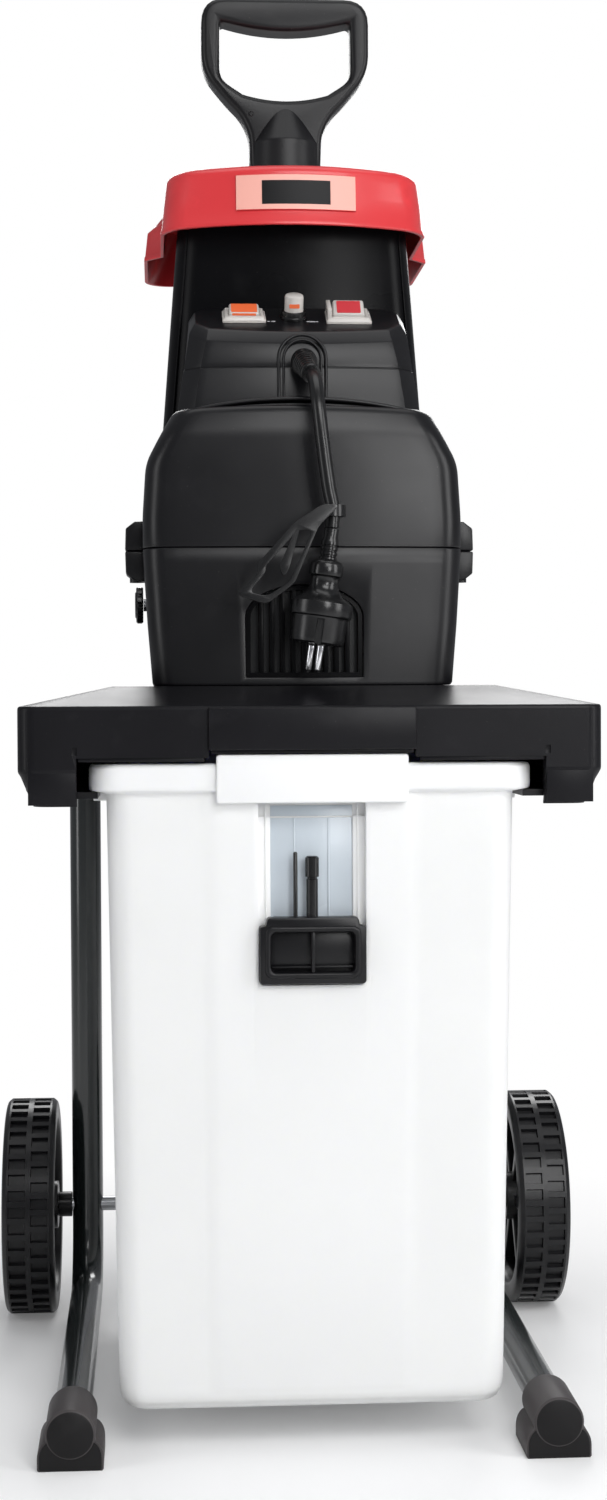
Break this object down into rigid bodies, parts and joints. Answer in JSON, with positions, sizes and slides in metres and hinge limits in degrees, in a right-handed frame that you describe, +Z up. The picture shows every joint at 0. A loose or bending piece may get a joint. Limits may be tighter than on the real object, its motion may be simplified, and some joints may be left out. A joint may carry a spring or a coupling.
{
  "type": "electric garden shredder",
  "caption": "Electric garden shredder: tube frame on wheels, deck with pull-out collection box, motor covers, hopper with red cap, and a plunger with a D-shaped handle.",
  "frame": {"origin": "on the ground under the middle of the machine", "axes": "+Z up, the front with the collection box's latch faces -Y, +X to the right of someone who stands in front and looks along +Y"},
  "size_m": [0.47, 0.494, 1.0815],
  "materials": {
    "black_plastic": "satin moulded",
    "soft_black": "soft, slightly glossy",
    "red_plastic": "satin gloss",
    "pale_label": "printed foil, bare",
    "white_plastic": "slightly translucent",
    "tube_enamel": "gloss black enamel",
    "foot_plastic": "dull moulded",
    "wheel_plastic": "blow moulded, satin",
    "bright_steel": "turned",
    "pin_chrome": "plated",
    "cast_metal": "die cast",
    "winding": "laminations and lacquered winding",
    "clear_cover": "clear soft cover",
    "orange_key": "moulded",
    "red_key": "moulded"
  },
  "bodies": {
    "machine": {"deck_shell": "black_plastic", "frame_socket_left": "black_plastic", "frame_socket_right": "black_plastic", "box_rail_left": "black_plastic", "box_rail_right": "black_plastic", "motor_cover_lower": "black_plastic", "motor_cover_upper": "black_plastic", "vent_grille": "black_plastic", "control_housing": "black_plastic", "hopper": "black_plastic", "wheel_spacer_left": "black_plastic", "wheel_spacer_right": "black_plastic", "safety_switch": "soft_black", "reset_collar": "soft_black", "cord": "soft_black", "cord_boot": "soft_black", "cord_hook": "soft_black", "plug_body": "soft_black", "plug_boot": "soft_black", "hopper_cap": "red_plastic", "cap_label": "pale_label", "frame_tube_left": "tube_enamel", "frame_tube_right": "tube_enamel", "foot_cap_left": "foot_plastic", "foot_cap_right": "foot_plastic", "axle_rod": "bright_steel", "hub_cap_left": "bright_steel", "hub_cap_right": "bright_steel", "idler_shaft": "bright_steel", "roller_bearing_front": "bright_steel", "roller_bearing_back": "bright_steel", "plug_pin_left": "pin_chrome", "plug_pin_right": "pin_chrome", "cutter_housing": "cast_metal", "gearbox_cover": "cast_metal", "motor_can": "cast_metal", "capacitor": "cast_metal", "motor_stator": "winding", "main_switch_frame": "clear_cover", "selector_frame": "clear_cover"},
    "wheel_left": {"wheel_left": "wheel_plastic"},
    "wheel_right": {"wheel_right": "wheel_plastic"},
    "box": {"collection_box": "white_plastic"},
    "latch": {"box_latch": "black_plastic", "latch_rod_thin": "soft_black", "latch_rod_thick": "soft_black"},
    "plunger": {"plunger_handle": "black_plastic", "plunger_shaft": "black_plastic"},
    "main_switch": {"main_switch_rocker": "red_key"},
    "selector_switch": {"selector_rocker": "orange_key"},
    "reset": {"reset_button": "clear_cover"},
    "motor": {"motor_shaft": "bright_steel", "motor_rotor": "bright_steel"},
    "idler": {"idler_gear": "bright_steel"},
    "roller": {"cutting_roller": "bright_steel", "roller_gear": "bright_steel"},
    "adjuster": {"adjusting_knob": "black_plastic", "adjusting_screw": "bright_steel"},
    "plate": {"pressure_plate": "bright_steel"}
  },
  "joints": [
    {"name": "wheel_left_spin", "type": "hinge", "parent": "machine", "child": "wheel_left", "pos_m": [-0.2135, 0.157, 0.09], "axis": [1, 0, 0], "continuous": true},
    {"name": "wheel_right_spin", "type": "hinge", "parent": "machine", "child": "wheel_right", "pos_m": [0.2135, 0.157, 0.09], "axis": [1, 0, 0], "continuous": true},
    {"name": "box_slide", "type": "slide", "parent": "machine", "child": "box", "axis": [0, -1, 0], "range_m": [0, 0.38]},
    {"name": "latch_slide", "type": "slide", "parent": "box", "child": "latch", "axis": [0, 0, 1], "range_m": [0, 0.066]},
    {"name": "plunger_slide", "type": "slide", "parent": "machine", "child": "plunger", "axis": [0, 0, 1], "range_m": [0, 0.17]},
    {"name": "main_switch_rock", "type": "hinge", "parent": "machine", "child": "main_switch", "pos_m": [0.038, -0.09044, 0.80395], "axis": [1, 0, 0], "range_deg": [0, 9]},
    {"name": "selector_rock", "type": "hinge", "parent": "machine", "child": "selector_switch", "pos_m": [-0.0395, -0.09044, 0.80395], "axis": [1, 0, 0], "range_deg": [0, 9]},
    {"name": "reset_press", "type": "slide", "parent": "machine", "child": "reset", "axis": [0, 0.465, -0.8853], "range_m": [0, 0.003], "stiffness_N_per_m": 400, "springref_m": -0.002},
    {"name": "motor_spin", "type": "hinge", "parent": "machine", "child": "motor", "pos_m": [0, -0.038, 0.64], "axis": [0, 1, 0], "continuous": true},
    {"name": "idler_spin", "type": "hinge", "parent": "machine", "child": "idler", "pos_m": [0.03829, -0.036, 0.62], "axis": [0, 1, 0], "continuous": true},
    {"name": "roller_spin", "type": "hinge", "parent": "machine", "child": "roller", "pos_m": [0, 0.009, 0.6], "axis": [0, 1, 0], "continuous": true},
    {"name": "knob_turn", "type": "hinge", "parent": "machine", "child": "adjuster", "pos_m": [-0.116, 0.055, 0.5975], "axis": [1, 0, 0], "range_deg": [-725, 185]},
    {"name": "plate_slide", "type": "slide", "parent": "machine", "child": "plate", "axis": [1, 0, 0], "range_m": [-0.003, 0.00075]}
  ],
  "couplings": [
    {"joint": "idler_spin", "follows": "motor_spin", "ratio": -0.2},
    {"joint": "roller_spin", "follows": "motor_spin", "ratio": 0.04},
    {"joint": "knob_turn", "follows": "plate_slide", "rad_per_m": 4188.8}
  ]
}
